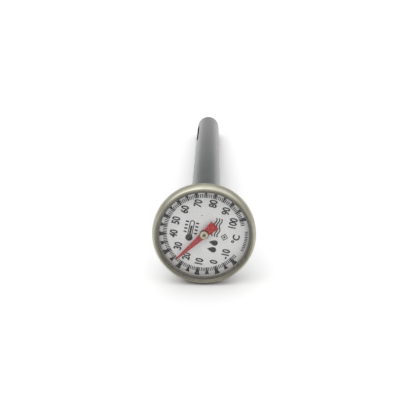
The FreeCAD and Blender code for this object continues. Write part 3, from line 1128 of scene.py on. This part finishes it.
def clip():
    """Spring-steel clip: a band round the sheath and a tongue folded back along it."""
    hinge = UPRIGHT.inverted() @ Vector(JOINTS["clip_flex"]["pos_m"])
    band_front, band_back, tongue_front = 13.0, 20.0, 19.0
    leg = -(BAND.inner + 1.25 * CLIP_STEEL)
    fold = leg - hinge.z
    touch, end = 53.0, ARM.back - CLIP_STEEL / 2
    gap = 0.25
    half = 2.28
    taper = (SHEATH.outer - SHEATH_CLIP_R) * (touch - TAPER_FROM) / (TAPER_TO - TAPER_FROM)
    touch_z = -(SHEATH_CLIP_R + taper + gap + CLIP_STEEL / 2)
    line = rounded(
        [
            (tongue_front, leg),
            (hinge.y, leg, 0.7 * fold),
            (hinge.y, leg - 2 * fold, 0.6 * fold),
            (touch, touch_z, 4.0),
            (end, hinge.z - 0.6 * fold),
        ]
    )
    last, before, steps = line[-1], line[-2], 12  # the last run is divided for the round end
    line = line[:-1] + [before + (last - before) * k / steps for k in range(1, steps + 1)]
    length = sum((b - a).length for a, b in zip(line, line[1:]))

    def half_width(run):
        """Even, with a round end to the tongue."""
        left = max(0.0, half - (length - run))
        return max(0.5, math.sqrt(half**2 - left**2))

    thing = new_object("pocket_clip", ribbon(line, half_width, CLIP_STEEL))
    outer = BAND.inner + CLIP_STEEL
    band = rounded(
        [
            (BAND.inner, band_front, 0.05),
            (outer, band_front, 0.05),
            (outer, band_back, 0.05),
            (BAND.inner, band_back, 0.05),
        ]
    )
    combine(thing, lathe(band), "UNION")
    metal = drawn_metal("clip_steel", (0.38, 0.38, 0.38), (0.50, 0.50, 0.495), 0.16)
    finish(thing, None, metal, ["clip_band", "clip_arm"])
    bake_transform(thing)


def kept_nodes(steel):
    """Looks for the inner pieces whose CAD shapes are kept as they are."""
    brass = turned_metal(
        "bush_brass", (0.46, 0.36, 0.18), (0.62, 0.52, 0.28), (0.25, 0.19, 0.10), 0.3
    )
    spring = turned_metal(
        "washer_steel", (0.52, 0.52, 0.52), (0.66, 0.66, 0.65), (0.42, 0.40, 0.36), 0.2
    )
    looks = {
        "friction_washer": spring,
        "stem_collar": steel,
        "coil_anchor": steel,
        "coil_collet": brass,
        "upper_shaft_guide": brass,
        "lower_shaft_guide": brass,
    }
    for node, material in looks.items():
        for slot in frame["nodes"][node].material_slots:
            slot.material = material


# ---- Stage ----
def stage():
    """Plain pale floor."""
    shader = Shader("floor_white", IOR=1.4)
    cloud = shader.noise(shader.add("TexCoord").outputs["Object"], 9.0, 2.0)
    shader.look(
        shader.ramp(cloud, (0.3, 0.785), (0.7, 0.80)),
        shader.ramp(cloud, (0.3, 0.55), (0.7, 0.65)),
    )
    form = bmesh.new()
    bmesh.ops.create_grid(form, x_segments=8, y_segments=8, size=4.0)
    mesh = bpy.data.meshes.new("floor")
    form.to_mesh(mesh)
    form.free()
    mesh.materials.append(shader.material)
    floor = bpy.data.objects.new("floor", mesh)
    bpy.context.scene.collection.objects.link(floor)


def softbox():
    """Large soft lamp over the head, a little to the left."""
    place, target = Vector((-0.24, -0.16, 0.58)), Vector((0, -0.03, 0))
    light = bpy.data.lights.new("softbox", "AREA")
    light.shape = "SQUARE"
    light.size = 0.6
    light.energy = 0.9
    thing = bpy.data.objects.new("softbox", light)
    thing.location = place
    thing.rotation_euler = (target - place).to_track_quat("-Z", "Y").to_euler()
    bpy.context.scene.collection.objects.link(thing)


# Grey of the studio's walls and ceiling, as (height, level) from the horizon to straight above
STUDIO = (
    (0.0, 0.45),
    (0.12, 0.36),
    (0.22, 0.25),
    (0.32, 0.26),
    (0.42, 0.48),
    (0.6, 0.80),
    (1.0, 1.0),
)


def lighting():
    """Pale studio all round, and the softbox."""
    scene = bpy.context.scene
    scene.view_settings.view_transform = "Standard"
    world = bpy.data.worlds.new("studio")
    scene.world = world
    world.use_nodes = True
    tree = world.node_tree
    sky = tree.nodes["Background"]
    place = tree.nodes.new("ShaderNodeTexCoord")
    split = tree.nodes.new("ShaderNodeSeparateXYZ")
    ramp = tree.nodes.new("ShaderNodeValToRGB")
    tree.links.new(place.outputs["Generated"], split.inputs[0])
    tree.links.new(split.outputs["Z"], ramp.inputs["Fac"])
    tree.links.new(ramp.outputs["Color"], sky.inputs["Color"])
    elements = ramp.color_ramp.elements
    for height, _ in STUDIO[1:-1]:
        elements.new(height)
    for element, (_, level) in zip(elements, STUDIO):
        element.color = (level, level, level, 1)
    sky.inputs["Strength"].default_value = 1.7
    softbox()


def camera():
    """The reader's view: close, looking down along the stem, the head nearest."""
    pitch, yaw = math.radians(23.36), math.radians(0.36)
    # Where the head stands before the camera, in metres
    distance, head_right, head_up = 0.1795, -0.00153, -0.00654
    head = UPRIGHT @ Vector((0, 1.2, 0))
    turn = Matrix.Rotation(yaw, 3, "Z") @ Matrix.Rotation(math.pi / 2 - pitch, 3, "X")
    lens_camera = bpy.data.cameras.new("camera")
    lens_camera.lens = 60.0
    lens_camera.sensor_width = 36.0
    lens_camera.clip_start = 0.005
    thing = bpy.data.objects.new("camera", lens_camera)
    thing.rotation_euler = turn.to_euler()
    thing.location = head - turn @ Vector((head_right, head_up, -distance))
    bpy.context.scene.collection.objects.link(thing)
    bpy.context.scene.camera = thing


bezel()
lens()
gasket()
spacer()
dial()
case()
dial_print()
needle()
hub()
shaft()
kept_nodes(stem())
nut()
bimetal_helix()
sheath()
clip()
stage()
lighting()
camera()
